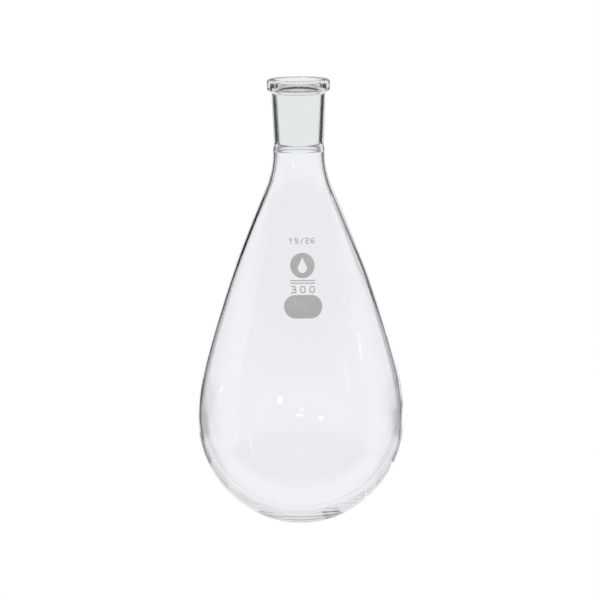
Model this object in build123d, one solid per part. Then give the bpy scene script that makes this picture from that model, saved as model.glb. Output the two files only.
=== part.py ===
from build123d import *
import os
from math import cos, radians, sin, sqrt

# Pear-shaped evaporating flask of nominal 300 mL, blown in clear borosilicate glass.
# Two glass blanks are fused at a weld ring: a standard-taper socket with a collar at its
# mouth, and a thin blown bulb.  Grey enamel marks are fired on to the front of the bulb.
#
# Lengths are in millimetres.  The origin is the centre of the mouth, in the plane of the
# rim.  +Z points up out of the mouth, and the marks are on the -Y side.

# Socket: standard taper joint, size 19/26
MOUTH_RADIUS = 18.8 / 2
TAPER_PER_SIDE = 1 / 20
TAPER_LENGTH = 26.0
MOUTH_EDGE_ROUND = 0.5

# Collar round the mouth, whose underside slopes down to its root on the neck
COLLAR_RADIUS = 12.3
COLLAR_EDGE_HEIGHT = 4.4
COLLAR_ROOT_HEIGHT = 5.2
COLLAR_TOP_ROUND = 1.5
COLLAR_BOTTOM_ROUND = 1.5
COLLAR_ROOT_ROUND = 0.6

# Outside of the socket below the collar, which narrows downwards
NECK_TOP_RADIUS = 10.55
NECK_BOTTOM_RADIUS = 9.7
NECK_BOTTOM = -25.9

# Weld ring, where the two blanks meet in a flat ring
WELD = -27.3
WELD_OUTER_RADIUS = 10.0
WELD_INNER_RADIUS = 8.35

# The two faces of the bulb's wall.  Each is a chain of tangent arcs: the shoulder curves
# outwards to the shoulder slope, the long flank and the belly curve back to the vertical
# at the equator, and the bowl closes on the axis.  Slopes are degrees from the vertical.
EQUATOR = -132.6
OUTER_FACE = {
    "weld_radius": WELD_OUTER_RADIUS,
    "neck_radius": 10.1,
    "shoulder_top": -28.3,
    "shoulder_radius": 35.8,
    "shoulder_slope": 23.85,
    "flank_radius": 470.0,
    "flank_slope": 14.8,
    "bowl_radius": 42.0,
    "bowl_turn": 70.0,
}
INNER_FACE = {
    "weld_radius": WELD_INNER_RADIUS,
    "neck_radius": 8.9,
    "shoulder_top": -28.5,
    "shoulder_radius": 40.7,
    "shoulder_slope": 24.3,
    "flank_radius": 454.0,
    "flank_slope": 15.4,
    "bowl_radius": 37.8,
    "bowl_turn": 45.0,
}

# Enamel marks on the front of the bulb, one below the other, each at its middle height
ENAMEL_THICKNESS = 0.06
ENAMEL_TOP = -56.0
ENAMEL_BOTTOM = -96.0
ENAMEL_SECTOR = 80.0
ENAMEL_REACH = 45.0

SIZE_MARKING_HEIGHT = -60.7
SIZE_DIGIT = (1.5, 2.15)
SIZE_STROKE = 0.4
SIZE_PITCH = 2.1

BADGE_HEIGHT = -69.8
BADGE_RADIUS = 4.7
DROP_RADIUS = 1.75
DROP_BOTTOM = -1.0
DROP_TIP = 3.0

RULE_HEIGHT = -75.9
RULE_LENGTH = 9.7
RULE_THICKNESS = 0.4
RULE_SPACING = 0.95

VOLUME_MARKING_HEIGHT = -78.75
VOLUME_DIGIT = (2.15, 2.8)
VOLUME_STROKE = 0.48
VOLUME_PITCH = 3.58

PATCH_HEIGHT = -85.1
PATCH_LENGTH = 14.7
PATCH_WIDTH = 8.7

# How far the digits' loose ends reach, as shares of the half width or half height, and the
# height of a closed bowl as a share of the digit's
FLAG_REACH = 0.8
FLAG_DROP = 0.45
HOOK_REACH = 0.8
SLASH_LEAN = 0.7
BOWL_SHARE = 0.62


def next_arc(edge, radius, turn):
    """A circular arc that leaves the end of an edge along its tangent."""
    return JernArc(edge @ 1, edge % 1, radius, turn)


def slope_direction(slope):
    """Downward direction that leans outwards by a slope in degrees from the vertical."""
    return (sin(radians(slope)), -cos(radians(slope)))


def neck_and_flank(face):
    """Arcs of one face from the shoulder's top down to the end of the long flank."""
    shoulder = JernArc(
        (face["neck_radius"], face["shoulder_top"]),
        (0, -1),
        face["shoulder_radius"],
        face["shoulder_slope"],
    )
    flank = next_arc(shoulder, face["flank_radius"], face["flank_slope"] - face["shoulder_slope"])
    return shoulder, flank


def belly_and_bowl(face, flank):
    """Arcs of one face from the flank's end, round the equator, to the pole on the axis."""
    drop = (flank @ 1).Y - EQUATOR
    belly = next_arc(flank, drop / sin(radians(face["flank_slope"])), -face["flank_slope"])
    bowl = next_arc(belly, face["bowl_radius"], -face["bowl_turn"])
    bowl_end = bowl @ 1
    turn = radians(face["bowl_turn"])
    cap_radius = bowl_end.X / cos(turn)
    pole = (0, bowl_end.Y - cap_radius * (1 - sin(turn)))
    cap = TangentArc(bowl_end, pole, tangent=bowl % 1)
    return belly, bowl, cap


def wall_face(face):
    """All edges of one face of the bulb's wall, from the weld down to the pole."""
    shoulder, flank = neck_and_flank(face)
    lip = Line((face["weld_radius"], WELD), shoulder @ 0)
    belly, bowl, cap = belly_and_bowl(face, flank)
    return [lip, shoulder, flank, belly, bowl, cap]


def turned(section):
    """The solid that a section in the radius-height plane makes round the Z axis."""
    return revolve(Plane.XZ * section, Axis.Z)


def make_bulb():
    outer = wall_face(OUTER_FACE)
    inner = wall_face(INNER_FACE)
    weld_line = Line(outer[0] @ 0, inner[0] @ 0)
    axis_line = Line(outer[-1] @ 1, inner[-1] @ 1)
    return turned(make_face(outer + inner + [weld_line, axis_line]))


def make_joint_socket():
    corners_and_rounds = [
        ((WELD_INNER_RADIUS, WELD), 0),
        ((MOUTH_RADIUS - TAPER_PER_SIDE * TAPER_LENGTH, -TAPER_LENGTH), 0),
        ((MOUTH_RADIUS, 0), MOUTH_EDGE_ROUND),
        ((COLLAR_RADIUS, 0), COLLAR_TOP_ROUND),
        ((COLLAR_RADIUS, -COLLAR_EDGE_HEIGHT), COLLAR_BOTTOM_ROUND),
        ((NECK_TOP_RADIUS, -COLLAR_ROOT_HEIGHT), COLLAR_ROOT_ROUND),
        ((NECK_BOTTOM_RADIUS, NECK_BOTTOM), 0),
        ((WELD_OUTER_RADIUS, WELD), 0),
    ]
    corners = [corner for corner, rounding in corners_and_rounds]
    rounds = [rounding for corner, rounding in corners_and_rounds]
    return turned(make_face(FilletPolyline(*corners, radius=rounds, close=True)))


def enamel_skin():
    """Thin skin on the front of the bulb's outer face, from which the marks are cut."""
    shoulder, flank = neck_and_flank(OUTER_FACE)
    centre = flank.arc_center
    band = Pos(0, (ENAMEL_TOP + ENAMEL_BOTTOM) / 2) * Rectangle(
        2 * ENAMEL_REACH, ENAMEL_TOP - ENAMEL_BOTTOM
    )
    outside = Pos(centre.X, centre.Y) * Circle(OUTER_FACE["flank_radius"] + ENAMEL_THICKNESS)
    inside = Pos(centre.X, centre.Y) * Circle(OUTER_FACE["flank_radius"])
    right_half = Pos(ENAMEL_REACH / 2, EQUATOR / 2) * Rectangle(ENAMEL_REACH, -EQUATOR)
    section = (outside - inside) & band & right_half
    skin = revolve(Plane.XZ * section, Axis.Z, ENAMEL_SECTOR)
    return Rot(0, 0, -90 - ENAMEL_SECTOR / 2) * skin


def fired_on(shape, height, skin):
    """The part of the skin behind a flat shape that is held up to it at a height."""
    prism = extrude(Plane.XZ * Pos(0, height) * shape, ENAMEL_REACH)
    return prism & skin


def stroke(*edges, width):
    """A pen stroke with round ends along edges that join smoothly."""
    ends = Pos(edges[0] @ 0) * Circle(width / 2) + Pos(edges[-1] @ 1) * Circle(width / 2)
    return trace(Wire(edges), width) + ends


def bars_and_bends(points, turns, width):
    """One stroke of level bars, each joined to the next by a half-circle bend."""
    edges = []
    for index, turn in enumerate(turns):
        edges.append(Line(points[2 * index], points[2 * index + 1]))
        reach = abs(points[2 * index + 2][1] - points[2 * index + 1][1]) / 2
        edges.append(next_arc(edges[-1], reach, turn))
    edges.append(Line(points[-2], points[-1]))
    return stroke(*edges, width=width)


def digit(character, size, width):
    """A plain squared digit, centred on the origin, made of pen strokes."""
    left = -(size[0] - width) / 2
    right = -left
    top = (size[1] - width) / 2
    bend = right - top / 2
    if character == "0":
        hole = SlotOverall(size[1] - 2 * width, size[0] - 2 * width, rotation=90)
        return SlotOverall(size[1], size[0], rotation=90) - hole
    if character == "1":
        stem = stroke(Line((0, -top), (0, top)), width=width)
        return stem + stroke(Line((0, top), (left * FLAG_REACH, top * FLAG_DROP)), width=width)
    if character == "2":
        points = [(left, top), (bend, top), (bend, 0), (-bend, 0), (-bend, -top), (right, -top)]
        return bars_and_bends(points, [-180, 180], width)
    if character == "3":
        upper = bars_and_bends([(left, top), (bend, top), (bend, 0), (left / 2, 0)], [-180], width)
        return upper + mirror(upper, Plane.XZ)
    if character == "6":
        bowl_height = BOWL_SHARE * size[1]
        bowl = SlotOverall(size[0], bowl_height)
        bowl -= SlotOverall(size[0] - 2 * width, bowl_height - 2 * width)
        middle = (bowl_height - size[1]) / 2
        stem = Line((left, middle), (left, top - right))
        curve = next_arc(stem, right, -90)
        hook = Line(curve @ 1, (right * HOOK_REACH, top))
        return Pos(0, middle) * bowl + stroke(stem, curve, hook, width=width)
    if character == "9":
        return Rot(0, 0, 180) * digit("6", size, width)
    lean = right * SLASH_LEAN
    return stroke(Line((-lean, -top), (lean, top)), width=width)


def number(text, size, width, pitch):
    """A centred row of digits."""
    first = -pitch * (len(text) - 1) / 2
    row = Sketch()
    for index, character in enumerate(text):
        row += Pos(first + index * pitch, 0) * digit(character, size, width)
    return row


def make_size_marking(skin):
    text = number("19/26", SIZE_DIGIT, SIZE_STROKE, SIZE_PITCH)
    return fired_on(text, SIZE_MARKING_HEIGHT, skin)


def make_badge(skin):
    """A round badge with a window in the shape of a drop."""
    drop = Pos(0, DROP_BOTTOM) * Circle(DROP_RADIUS)
    lean = DROP_RADIUS / (DROP_TIP - DROP_BOTTOM)
    side = DROP_RADIUS * sqrt(1 - lean**2)
    shoulder = DROP_BOTTOM + DROP_RADIUS * lean
    corners = [(-side, shoulder), (0, DROP_TIP), (side, shoulder), (0, DROP_BOTTOM)]
    drop += make_face(Polyline(*corners, close=True))
    return fired_on(Circle(BADGE_RADIUS) - drop, BADGE_HEIGHT, skin)


def make_rule(skin):
    """Two thin level lines under the badge."""
    line = Rectangle(RULE_LENGTH, RULE_THICKNESS)
    lines = Pos(0, RULE_SPACING / 2) * line + Pos(0, -RULE_SPACING / 2) * line
    return fired_on(lines, RULE_HEIGHT, skin)


def make_volume_marking(skin):
    text = number("300", VOLUME_DIGIT, VOLUME_STROKE, VOLUME_PITCH)
    return fired_on(text, VOLUME_MARKING_HEIGHT, skin)


def make_writing_patch(skin):
    """Matt patch with round ends, to write on in pencil."""
    return fired_on(SlotOverall(PATCH_LENGTH, PATCH_WIDTH), PATCH_HEIGHT, skin)


def write(name, shape):
    shape.label = name
    export_step(shape, f"parts/{name}.step")


os.makedirs("parts", exist_ok=True)
write("bulb", make_bulb())
write("joint_socket", make_joint_socket())
enamel = enamel_skin()
write("size_marking", make_size_marking(enamel))
write("badge", make_badge(enamel))
write("rule", make_rule(enamel))
write("volume_marking", make_volume_marking(enamel))
write("writing_patch", make_writing_patch(enamel))
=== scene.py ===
import math

import bmesh
import bpy
from mathutils import Matrix, Vector, noise


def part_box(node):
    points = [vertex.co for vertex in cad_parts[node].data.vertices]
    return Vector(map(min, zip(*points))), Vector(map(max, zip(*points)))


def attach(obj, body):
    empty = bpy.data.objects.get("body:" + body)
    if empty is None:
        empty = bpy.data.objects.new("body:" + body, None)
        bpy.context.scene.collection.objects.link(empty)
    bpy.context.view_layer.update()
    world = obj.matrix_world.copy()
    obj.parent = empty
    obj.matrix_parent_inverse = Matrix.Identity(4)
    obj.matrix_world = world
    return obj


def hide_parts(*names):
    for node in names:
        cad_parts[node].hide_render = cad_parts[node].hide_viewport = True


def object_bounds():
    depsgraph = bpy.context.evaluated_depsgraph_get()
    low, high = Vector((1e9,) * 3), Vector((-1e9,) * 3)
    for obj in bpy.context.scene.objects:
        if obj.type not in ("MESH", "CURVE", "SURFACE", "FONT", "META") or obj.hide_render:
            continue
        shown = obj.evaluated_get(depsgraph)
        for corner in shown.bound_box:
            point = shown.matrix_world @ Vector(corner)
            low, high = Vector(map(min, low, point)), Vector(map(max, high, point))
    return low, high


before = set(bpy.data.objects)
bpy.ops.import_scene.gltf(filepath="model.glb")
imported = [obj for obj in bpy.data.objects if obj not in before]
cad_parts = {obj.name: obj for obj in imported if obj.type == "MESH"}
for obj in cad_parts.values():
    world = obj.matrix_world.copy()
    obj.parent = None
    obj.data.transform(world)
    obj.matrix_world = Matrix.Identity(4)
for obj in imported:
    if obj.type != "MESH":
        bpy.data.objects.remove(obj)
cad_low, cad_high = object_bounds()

# A clear glass pear-shaped flask.  The frame is the CAD model's: metres, +Z up out of the
# mouth, origin at the mouth's centre, enamel marks on the -Y side.
MM = 0.001

# Sizes are in millimetres.  These come from the CAD model.
bulb_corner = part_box("bulb")[1]
socket_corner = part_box("joint_socket")[1]
RIM = socket_corner.z / MM
WELD = bulb_corner.z / MM
COLLAR_RADIUS = socket_corner.x / MM

# The bulb's outside stays this far under the enamel
ENAMEL_GAP = 0.02

# Socket and the stub that it is welded to: the bore tapers 1 in 10 on diameter from the rim
MOUTH_RADIUS = 9.4
TAPER_PER_SIDE = 0.05
TAPER_LENGTH = 25.2
COLLAR_EDGE_HEIGHT = 4.4
COLLAR_ROOT_HEIGHT = 5.2
NECK_TOP_RADIUS = 10.55
NECK_BOTTOM_RADIUS = 9.7
NECK_BOTTOM_OVER_WELD = 1.8
STUB_RADIUS = 10.1
STUB_BORE = 8.9
OUTER_BEAD_DROP = 0.3
INNER_STEP_DROP = 0.8

# Rounds of the socket's edges, from the mouth down
MOUTH_ROUND = 0.15
BORE_END_ROUND = 2.5
COLLAR_TOP_ROUND = 1.3
COLLAR_BOTTOM_ROUND = 1.5
COLLAR_ROOT_ROUND = 0.6
NECK_ROUND = 3.0
WELD_ROUND = 2.0

# Faces of the bulb's wall, as chains of tangent arcs from the stub down
EQUATOR = -132.6
OUTER_FACE = {
    "neck": STUB_RADIUS - ENAMEL_GAP,
    "top": -28.3,
    "shoulder": 35.8,
    "shoulder_slope": 23.85,
    "flank": 470.0,
    "flank_slope": 14.8,
    "bowl": 42.0,
    "bowl_turn": 70.0,
}
INNER_FACE = {
    "neck": STUB_BORE,
    "top": -28.5,
    "shoulder": 40.7,
    "shoulder_slope": 24.3,
    "flank": 454.0,
    "flank_slope": 15.4,
    "bowl": 37.8,
    "bowl_turn": 45.0,
}

# How the blown wall's thickness wanders: a span is a middle height and a reach either way
SHOULDER_SWELL = 0.6
SHOULDER_SPAN = (-62.0, 34.0)
WAVE_DEPTH = 0.1
WAVE_HEIGHT = 22.0
WAVES_ROUND = 1.4

# How finely the glass is meshed
SEGMENTS = 240
LONGEST_STEP = 1.3
ARC_STEP = math.radians(9)
ALMOST_STRAIGHT = math.radians(89.5)
ON_AXIS = 1e-6

# Glass: colours, and depths of relief in metres
GLASS_INDEX = 1.474
GLASS_COOL = (0.98, 0.985, 0.995)
GLASS_WARM = (0.985, 0.99, 0.99)
SOCKET_GREEN = (0.93, 0.945, 0.938)
TINT_FADE = 1.0
GLASS_WAVES = 0.00004
GLASS_CORDS = 0.000006
GLASS_RINGS = 0.000004
SMEAR_ROUGHNESS = 0.03
DUST_ROUGHNESS = 0.35

# Glass: grains per metre along each axis, and which values of a grain count
TINT_GRAIN = (30.0, 30.0, 12.0)
WAVE_GRAIN = (60.0, 60.0, 45.0)
CORD_GRAIN = (160.0, 160.0, 9.0)
RING_GRAIN = (14.0, 14.0, 420.0)
DUST_GRAIN = (900.0, 900.0, 900.0)
DUST_LEVELS = (0.86, 0.9)
SMEAR_GRAIN = (50.0, 50.0, 160.0)
SMEAR_LEVELS = (0.62, 0.8)

# Enamel, in the same way
ENAMEL_DARK = (0.365, 0.365, 0.36)
ENAMEL_LIGHT = (0.43, 0.43, 0.425)
ENAMEL_RELIEF = 0.000012
ENAMEL_ROUGHNESS = (0.62, 0.85)
SCREEN_GRAIN = (2600.0, 2600.0, 2600.0)
SCREEN_LEVELS = (0.3, 0.7)
THIN_GRAIN = (220.0, 220.0, 220.0)
THIN_LEVELS = (0.35, 0.7)
THIN_SHARE = 0.4


def arc_points(centre, radius, start, turn):
    """Points along an arc, after its start, in steps short enough to look smooth."""
    steps = max(1, math.ceil(abs(turn) / ARC_STEP), math.ceil(abs(turn) * radius / LONGEST_STEP))
    angles = [start + turn * (i + 1) / steps for i in range(steps)]
    return [(centre[0] + radius * math.cos(a), centre[1] + radius * math.sin(a)) for a in angles]


def line_points(start, end):
    """Points along a line, after its start."""
    length = math.dist(start, end)
    steps = max(1, math.ceil(length / LONGEST_STEP))
    share = [(i + 1) / steps for i in range(steps)]
    return [(start[0] + (end[0] - start[0]) * s, start[1] + (end[1] - start[1]) * s) for s in share]


def rounded_path(corners):
    """A polyline of (radius, height, rounding) corners, with each corner rounded."""
    path = [corners[0][:2]]
    for before, corner, after in zip(corners, corners[1:], corners[2:]):
        here = Vector(corner[:2])
        back = (Vector(before[:2]) - here).normalized()
        ahead = (Vector(after[:2]) - here).normalized()
        half = math.acos(max(-1, min(1, back.dot(ahead)))) / 2
        if corner[2] == 0 or half > ALMOST_STRAIGHT:
            path += line_points(path[-1], tuple(here))
            continue
        tangent = corner[2] / math.tan(half)
        start = here + back * tangent
        centre = here + (back + ahead).normalized() * (corner[2] / math.sin(half))
        path += line_points(path[-1], tuple(start))
        first = math.atan2(start.y - centre.y, start.x - centre.x)
        end = here + ahead * tangent
        last = math.atan2(end.y - centre.y, end.x - centre.x)
        turn = (last - first + math.pi) % (2 * math.pi) - math.pi
        path += arc_points(centre, corner[2], first, turn)
    return path + line_points(path[-1], corners[-1][:2])


def wall_path(face):
    """Points of one face of the bulb's wall, from the stub down to the pole."""
    shoulder_slope = math.radians(face["shoulder_slope"])
    flank_slope = math.radians(face["flank_slope"])
    path = [(face["neck"], face["top"])]
    centre = (face["neck"] + face["shoulder"], face["top"])
    path += arc_points(centre, face["shoulder"], math.pi, shoulder_slope)
    reach = face["flank"]
    radius, height = path[-1]
    centre = (radius - reach * math.cos(shoulder_slope), height - reach * math.sin(shoulder_slope))
    path += arc_points(centre, reach, shoulder_slope, flank_slope - shoulder_slope)
    radius, height = path[-1]
    reach = (height - EQUATOR) / math.sin(flank_slope)
    centre = (radius - reach * math.cos(flank_slope), EQUATOR)
    path += arc_points(centre, reach, flank_slope, -flank_slope)
    bowl_turn = math.radians(face["bowl_turn"])
    centre = (path[-1][0] - face["bowl"], EQUATOR)
    path += arc_points(centre, face["bowl"], 0, -bowl_turn)
    reach = path[-1][0] / math.cos(bowl_turn)
    centre = (0, path[-1][1] + reach * math.sin(bowl_turn))
    return path + arc_points(centre, reach, -bowl_turn, bowl_turn - math.pi / 2)


def outer_path():
    """The outside from the rim's middle, over the collar, the neck and the weld, to the pole."""
    corners = [
        ((MOUTH_RADIUS + COLLAR_RADIUS) / 2, RIM, 0),
        (COLLAR_RADIUS, RIM, COLLAR_TOP_ROUND),
        (COLLAR_RADIUS, RIM - COLLAR_EDGE_HEIGHT, COLLAR_BOTTOM_ROUND),
        (NECK_TOP_RADIUS, RIM - COLLAR_ROOT_HEIGHT, COLLAR_ROOT_ROUND),
        (NECK_BOTTOM_RADIUS, WELD + NECK_BOTTOM_OVER_WELD, NECK_ROUND),
        (STUB_RADIUS - ENAMEL_GAP, WELD - OUTER_BEAD_DROP, WELD_ROUND),
        (OUTER_FACE["neck"], OUTER_FACE["top"], 0),
    ]
    return rounded_path(corners) + wall_path(OUTER_FACE)[1:]


def inner_path():
    """The inside from the rim's middle, down the tapered bore, to the pole."""
    corners = [
        ((MOUTH_RADIUS + COLLAR_RADIUS) / 2, RIM, 0),
        (MOUTH_RADIUS, RIM, MOUTH_ROUND),
        (MOUTH_RADIUS - TAPER_PER_SIDE * TAPER_LENGTH, RIM - TAPER_LENGTH, BORE_END_ROUND),
        (STUB_BORE, WELD - INNER_STEP_DROP, BORE_END_ROUND),
        (INNER_FACE["neck"], INNER_FACE["top"], 0),
    ]
    return rounded_path(corners) + wall_path(INNER_FACE)[1:]


def swell(height, middle, reach):
    """1 at the middle height, falling smoothly to 0 a reach above or below it."""
    away = abs(height - middle) / reach
    return math.cos(away * math.pi / 2) ** 2 if away < 1 else 0.0


def as_blown(height, angle):
    """How much further in the inside lies than drawn: a blown wall is never even."""
    right = 0.5 + 0.5 * math.cos(angle)
    thick_shoulder = SHOULDER_SWELL * right * swell(height, *SHOULDER_SPAN)
    place = Vector((math.cos(angle), math.sin(angle), height / WAVE_HEIGHT))
    waves = WAVE_DEPTH * noise.noise(place * WAVES_ROUND)
    settled = swell(height, (WELD + EQUATOR) / 2 - WAVE_HEIGHT, (WELD - EQUATOR) / 2 + WAVE_HEIGHT)
    return thick_shoulder + waves * settled


def spun_mesh(name, inside, outside):
    """A closed mesh made by turning two paths about Z, from the rim to the pole."""
    rings = [(r, z, as_blown) for r, z in reversed(inside)]
    rings += [(r, z, None) for r, z in outside[1:]]
    verts = []
    faces = []
    ring_starts = []
    for radius, height, uneven in rings:
        on_axis = radius < ON_AXIS
        ring_starts.append((len(verts), on_axis))
        for i in range(1 if on_axis else SEGMENTS):
            angle = 2 * math.pi * i / SEGMENTS
            r = radius
            if uneven and not on_axis:
                r -= uneven(height, angle)
            verts.append((r * math.cos(angle) * MM, r * math.sin(angle) * MM, height * MM))
    for (a, a_pole), (b, b_pole) in zip(ring_starts, ring_starts[1:]):
        for i in range(SEGMENTS):
            j = (i + 1) % SEGMENTS
            if a_pole:
                faces.append((a, b + i, b + j))
            elif b_pole:
                faces.append((a + i, b, a + j))
            else:
                faces.append((a + i, b + i, b + j, a + j))
    mesh = bpy.data.meshes.new(name)
    mesh.from_pydata(verts, [], faces)
    bm = bmesh.new()
    bm.from_mesh(mesh)
    bmesh.ops.recalc_face_normals(bm, faces=bm.faces)
    bm.to_mesh(mesh)
    bm.free()
    mesh.polygons.foreach_set("use_smooth", [True] * len(mesh.polygons))
    piece = bpy.data.objects.new(name, mesh)
    bpy.context.scene.collection.objects.link(piece)
    return piece


class Graph:
    """Short ways to add the nodes of one node tree."""

    def __init__(self, tree):
        self.nodes = tree.nodes
        self.links = tree.links

    def plug(self, value, socket):
        """Sets a socket to a number or vector, or links a node's output to it."""
        if isinstance(value, bpy.types.NodeSocket):
            self.links.new(value, socket)
        else:
            socket.default_value = value

    def add(self, kind, **inputs):
        """A node with some inputs set; an underscore in an input's name stands for a space."""
        node = self.nodes.new(kind)
        for name, value in inputs.items():
            self.plug(value, node.inputs[name.replace("_", " ")])
        return node

    def math(self, operation, *values):
        node = self.nodes.new("ShaderNodeMath")
        node.operation = operation
        for value, socket in zip(values, node.inputs):
            self.plug(value, socket)
        return node.outputs[0]

    def smooth(self, value, start, end, low=0.0, high=1.0):
        """Goes smoothly from low to high as value goes from start to end."""
        node = self.add("ShaderNodeMapRange", Value=value, From_Min=start, From_Max=end)
        self.plug(low, node.inputs["To Min"])
        self.plug(high, node.inputs["To Max"])
        node.interpolation_type = "SMOOTHSTEP"
        return node.outputs[0]

    def place(self, stretch):
        """The point on the object in metres, squeezed along each axis by a factor."""
        where = self.add("ShaderNodeTexCoord").outputs["Object"]
        node = self.add("ShaderNodeMapping", Vector=where, Scale=stretch)
        return node.outputs[0]

    def grain(self, stretch, detail=3.0, roughness=0.5):
        """Noise from 0 to 1, with grains of about 1/stretch metres along each axis."""
        node = self.add("ShaderNodeTexNoise", Vector=self.place(stretch), Scale=1.0)
        self.plug(detail, node.inputs["Detail"])
        self.plug(roughness, node.inputs["Roughness"])
        return node.outputs["Fac"]

    def blend(self, share, first, second):
        node = self.nodes.new("ShaderNodeMix")
        node.data_type = "RGBA"
        self.plug(share, node.inputs[0])
        for colour, socket in ((first, node.inputs[6]), (second, node.inputs[7])):
            self.plug((*colour, 1.0) if isinstance(colour, tuple) else colour, socket)
        return node.outputs[2]

    def relief(self, height, depth, under=None):
        """Bump of a height from 0 to 1 that stands a depth in metres."""
        node = self.add("ShaderNodeBump", Height=height, Distance=depth, Strength=1.0)
        if under:
            self.plug(under, node.inputs["Normal"])
        return node.outputs[0]


def node_material(name):
    material = bpy.data.materials.new(name)
    material.use_nodes = True
    return material, Graph(material.node_tree), material.node_tree.nodes["Principled BSDF"]


def glass_tint(graph):
    """Hardly any colour in the bulb, and the green of a thicker wall in the socket."""
    blown = graph.blend(graph.grain(TINT_GRAIN, 2.0), GLASS_COOL, GLASS_WARM)
    unstretched = graph.place((1.0, 1.0, 1.0))
    height = graph.add("ShaderNodeSeparateXYZ", Vector=unstretched).outputs["Z"]
    in_socket = graph.smooth(height, (WELD - TINT_FADE) * MM, (WELD + TINT_FADE) * MM)
    return graph.blend(in_socket, blown, SOCKET_GREEN)


def glass_relief(graph):
    """Broad waves of the blown wall, cords along the flask and rings round it."""
    waves = graph.relief(graph.grain(WAVE_GRAIN, 2.0), GLASS_WAVES)
    cords = graph.relief(graph.grain(CORD_GRAIN, 2.0), GLASS_CORDS, waves)
    return graph.relief(graph.grain(RING_GRAIN, 1.0), GLASS_RINGS, cords)


def glass_dirt(graph):
    """Roughness of a few specks of dust and of faint wipe marks on polished glass."""
    specks = graph.smooth(graph.grain(DUST_GRAIN, 0.0), *DUST_LEVELS)
    dust = graph.math("MULTIPLY", specks, DUST_ROUGHNESS)
    smears = graph.grain(SMEAR_GRAIN, 5.0, 0.65)
    wiped = graph.smooth(smears, *SMEAR_LEVELS, 0.0, SMEAR_ROUGHNESS)
    return graph.math("MAXIMUM", dust, wiped)


def glass_material():
    material, graph, shader = node_material("clear_glass")
    graph.plug(glass_tint(graph), shader.inputs["Base Color"])
    graph.plug(glass_relief(graph), shader.inputs["Normal"])
    graph.plug(glass_dirt(graph), shader.inputs["Roughness"])
    graph.plug(GLASS_INDEX, shader.inputs["IOR"])
    graph.plug(1.0, shader.inputs["Transmission Weight"])
    return material


def enamel_material():
    """Matt grey fired enamel, printed through a screen: fine grain and thinner patches."""
    material, graph, shader = node_material("fired_enamel")
    grain = graph.grain(SCREEN_GRAIN, 3.0, 0.6)
    thin = graph.smooth(graph.grain(THIN_GRAIN, 3.0), *THIN_LEVELS)
    fine = graph.math("MULTIPLY", grain, 1 - THIN_SHARE)
    mottled = graph.math("ADD", fine, graph.math("MULTIPLY", thin, THIN_SHARE))
    graph.plug(graph.blend(mottled, ENAMEL_DARK, ENAMEL_LIGHT), shader.inputs["Base Color"])
    roughness = graph.smooth(grain, *SCREEN_LEVELS, *ENAMEL_ROUGHNESS)
    graph.plug(roughness, shader.inputs["Roughness"])
    graph.plug(graph.relief(grain, ENAMEL_RELIEF), shader.inputs["Normal"])
    return material


def make_glass():
    """Both glass pieces as one skin, because at the weld they are fused."""
    flask = spun_mesh("flask_glass", inner_path(), outer_path())
    flask.data.materials.append(glass_material())
    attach(flask, "root")
    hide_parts("bulb", "joint_socket")


def finish_enamel():
    enamel = enamel_material()
    for name in ("size_marking", "badge", "rule", "volume_marking", "writing_patch"):
        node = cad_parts[name]
        node.data.materials.clear()
        node.data.materials.append(enamel)


# Camera: angles in degrees, with its rise measured over the rim, lens and sensor in
# millimetres, and the width of its view at the flask and the height it aims at in metres
CAMERA_AZIMUTH = -2.4
RIM_ELEVATION = 5.3
CAMERA_ROLL = -0.43
LENS = 300.0
SENSOR = 36.0
FIELD = 0.234
AIM_HEIGHT = -0.0865
FARTHEST_SEEN = 100


def direction(azimuth, elevation):
    """Unit vector from the object; azimuth 0 is -Y and 90 is +X."""
    a = math.radians(azimuth)
    e = math.radians(elevation)
    return Vector((math.sin(a) * math.cos(e), -math.cos(a) * math.cos(e), math.sin(e)))


def make_camera():
    distance = FIELD * LENS / SENSOR
    lift = distance * math.tan(math.radians(RIM_ELEVATION))
    aim = Vector((0, 0, AIM_HEIGHT))
    elevation = math.degrees(math.atan2(lift - AIM_HEIGHT, distance))
    back = direction(CAMERA_AZIMUTH, elevation)
    data = bpy.data.cameras.new("camera")
    data.lens = LENS
    data.sensor_width = SENSOR
    data.clip_end = FARTHEST_SEEN
    camera = bpy.data.objects.new("camera", data)
    bpy.context.scene.collection.objects.link(camera)
    turn = (-back).to_track_quat("-Z", "Y").to_matrix().to_4x4()
    roll = Matrix.Rotation(math.radians(CAMERA_ROLL), 4, "Z")
    camera.matrix_world = Matrix.Translation(aim + back * distance) @ turn @ roll
    bpy.context.scene.camera = camera


# The studio as the glass sees it, each card painted over the ones before it.  A card runs
# between two azimuths and two elevations in degrees, with azimuth 180 behind the flask; then
# come its light and how many degrees its edges take to fade.
STUDIO_TINT = (0.98, 0.985, 1.0)
CEILING_LIGHT = 0.86
CARDS = {
    "left wall": (180, 280, -90, 12, 0.73, 4),
    "right wall": (80, 180, -90, 12, 0.77, 4),
    "front wall": (-80, 80, -90, 22, 0.6, 4),
    "dark room above": (-110, 110, 22, 90, 0.04, 14),
    "table": (80, 280, -90, -34, 0.88, 4),
    "backlight's edge": (155, 197, -37, 7, 0.22, 2),
    "backlight": (155, 197, -37, 1, 0.955, 4),
    "left far board": (215, 252, -15, -6, 0.42, 7),
    "right far board": (112, 142, -15, -6, 0.35, 7),
    "left low board": (197, 231, -14.5, -6.6, 0.02, 4),
    "right low board": (122, 155, -14.5, -6.5, 0.02, 3),
    "left board": (197, 216, -7.6, 9.6, 0.0, 3),
    "right board": (137, 155, -8.8, 6, 0.0, 3),
}


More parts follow.
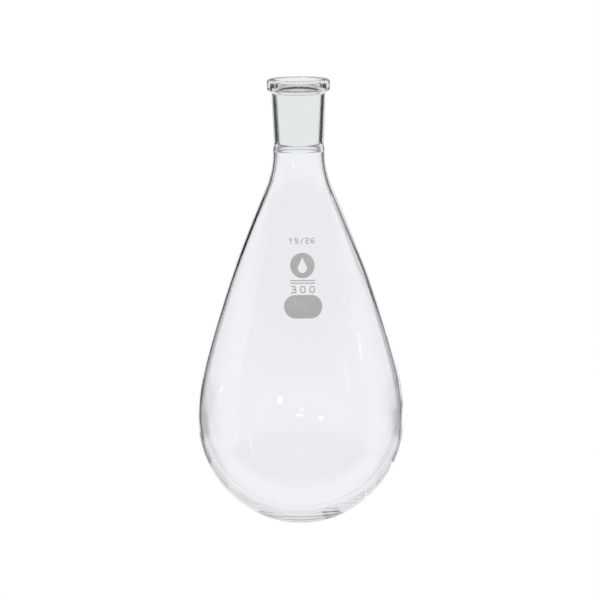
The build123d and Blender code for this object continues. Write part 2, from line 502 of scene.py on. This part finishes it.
def card_share(graph, card, x, y, flat, elevation):
    """1 where a direction points at a card and 0 elsewhere, fading at the card's edges."""
    left, right, bottom, top, fade = card
    middle = direction((left + right) / 2, 0)
    along = graph.math("ADD", graph.math("MULTIPLY", x, middle.x), graph.math("MULTIPLY", y, middle.y))
    aside = graph.math("DEGREES", graph.math("ARCCOSINE", graph.math("DIVIDE", along, flat)))
    reach = (right - left) / 2
    across = graph.smooth(aside, reach + fade / 2, reach - fade / 2)
    above = graph.smooth(elevation, bottom - fade / 2, bottom + fade / 2)
    below = graph.smooth(elevation, top + fade / 2, top - fade / 2)
    return graph.math("MULTIPLY", across, graph.math("MULTIPLY", above, below))


def studio_light(graph):
    """The studio's light from every direction: the ceiling with the cards painted over it."""
    sky = graph.add("ShaderNodeTexCoord").outputs["Generated"]
    x, y, z = graph.add("ShaderNodeSeparateXYZ", Vector=sky).outputs
    elevation = graph.math("DEGREES", graph.math("ARCSINE", z))
    flat = graph.math("SQRT", graph.math("SUBTRACT", 1.0, graph.math("MULTIPLY", z, z)))
    light = CEILING_LIGHT
    for left, right, bottom, top, strength, fade in CARDS.values():
        card = card_share(graph, (left, right, bottom, top, fade), x, y, flat, elevation)
        rest = graph.math("MULTIPLY", light, graph.math("SUBTRACT", 1.0, card))
        light = graph.math("ADD", rest, graph.math("MULTIPLY", card, strength))
    return light


def make_world():
    """The studio as the glass sees it, and a white backdrop as the camera sees it."""
    world = bpy.data.worlds.new("studio")
    bpy.context.scene.world = world
    world.use_nodes = True
    graph = Graph(world.node_tree)
    studio = graph.nodes["Background"]
    graph.plug((*STUDIO_TINT, 1.0), studio.inputs["Color"])
    graph.plug(studio_light(graph), studio.inputs["Strength"])
    backdrop = graph.add("ShaderNodeBackground", Color=(1.0, 1.0, 1.0, 1.0), Strength=1.0)
    shown = graph.nodes.new("ShaderNodeMixShader")
    graph.plug(graph.nodes.new("ShaderNodeLightPath").outputs["Is Camera Ray"], shown.inputs[0])
    graph.plug(studio.outputs[0], shown.inputs[1])
    graph.plug(backdrop.outputs[0], shown.inputs[2])
    graph.plug(shown.outputs[0], graph.nodes["World Output"].inputs["Surface"])


# Small lights: azimuth, elevation, width and height in degrees, and brightness
LIGHTS = {
    "key": (-26.0, 9.0, 5.0, 2.6, 7.0),
    "window": (-4.0, 1.4, 8.0, 0.6, 5.0),
    "left_lamp": (-106.0, 5.0, 1.8, 1.4, 4.0),
    "right_lamp": (84.0, 17.0, 1.8, 1.4, 4.0),
    "tall_card": (-62.0, -24.0, 2.5, 22.0, 0.8),
}
LIGHT_DISTANCE = 1.2

# Soft light on the enamel, which the glass doesn't mirror
FILL_AZIMUTH = 0
FILL_ELEVATION = 40
FILL_SIZE = 1.0
FILL_POWER = 12.0


def area_light(name, azimuth, elevation, width, height, energy):
    """A rectangular light that faces the belly of the flask."""
    data = bpy.data.lights.new(name, "AREA")
    data.shape = "RECTANGLE"
    data.size = width
    data.size_y = height
    data.energy = energy
    light = bpy.data.objects.new(name, data)
    bpy.context.scene.collection.objects.link(light)
    back = direction(azimuth, elevation)
    light.location = Vector((0, 0, EQUATOR * MM)) + back * LIGHT_DISTANCE
    light.rotation_mode = "QUATERNION"
    light.rotation_quaternion = (-back).to_track_quat("-Z", "Y")
    return light


# How many surfaces a ray may meet
LONGEST_PATH = 48


def let_light_travel():
    """Light runs along inside the thick wall by many inner reflections before it leaves."""
    cycles = bpy.context.scene.cycles
    cycles.max_bounces = LONGEST_PATH
    cycles.glossy_bounces = LONGEST_PATH
    cycles.transmission_bounces = LONGEST_PATH


def make_lights():
    for name, (azimuth, elevation, across, upright, brightness) in LIGHTS.items():
        width = LIGHT_DISTANCE * math.radians(across)
        height = LIGHT_DISTANCE * math.radians(upright)
        energy = brightness * math.pi * width * height
        area_light(name, azimuth, elevation, width, height, energy)
    fill = area_light("fill", FILL_AZIMUTH, FILL_ELEVATION, FILL_SIZE, FILL_SIZE, FILL_POWER)
    fill.visible_glossy = False
    fill.visible_transmission = False


# Floor: radius in metres, and the shares of it between which it fades to nothing
FLOOR_RADIUS = 0.4
FADE_START = 0.4
FADE_END = 0.9
FLOOR_SEGMENTS = 96


def floor_material():
    """Plain white floor that thins out to the white backdrop and lets the glass see the table."""
    material, graph, shader = node_material("pale_floor")
    graph.nodes.remove(shader)
    white = graph.add("ShaderNodeEmission", Color=(1.0, 1.0, 1.0, 1.0), Strength=1.0)
    clear = graph.nodes.new("ShaderNodeBsdfTransparent")
    away = graph.nodes.new("ShaderNodeVectorMath")
    away.operation = "LENGTH"
    graph.plug(graph.add("ShaderNodeTexCoord").outputs["Object"], away.inputs[0])
    share = graph.smooth(away.outputs["Value"], FLOOR_RADIUS * FADE_END, FLOOR_RADIUS * FADE_START)
    camera = graph.nodes.new("ShaderNodeLightPath").outputs["Is Camera Ray"]
    mix = graph.nodes.new("ShaderNodeMixShader")
    graph.plug(graph.math("MULTIPLY", share, camera), mix.inputs[0])
    graph.plug(clear.outputs[0], mix.inputs[1])
    graph.plug(white.outputs[0], mix.inputs[2])
    graph.plug(mix.outputs[0], graph.nodes["Material Output"].inputs["Surface"])
    return material


def make_floor():
    mesh = bpy.data.meshes.new("floor")
    bm = bmesh.new()
    bmesh.ops.create_circle(bm, cap_ends=True, radius=FLOOR_RADIUS, segments=FLOOR_SEGMENTS)
    bm.to_mesh(mesh)
    bm.free()
    floor = bpy.data.objects.new("floor", mesh)
    bpy.context.scene.collection.objects.link(floor)
    floor.location = (0, 0, cad_low.z)
    floor.data.materials.append(floor_material())


make_glass()
finish_enamel()
make_camera()
make_world()
make_lights()
make_floor()
bpy.context.scene.view_settings.view_transform = "Standard"
let_light_travel()
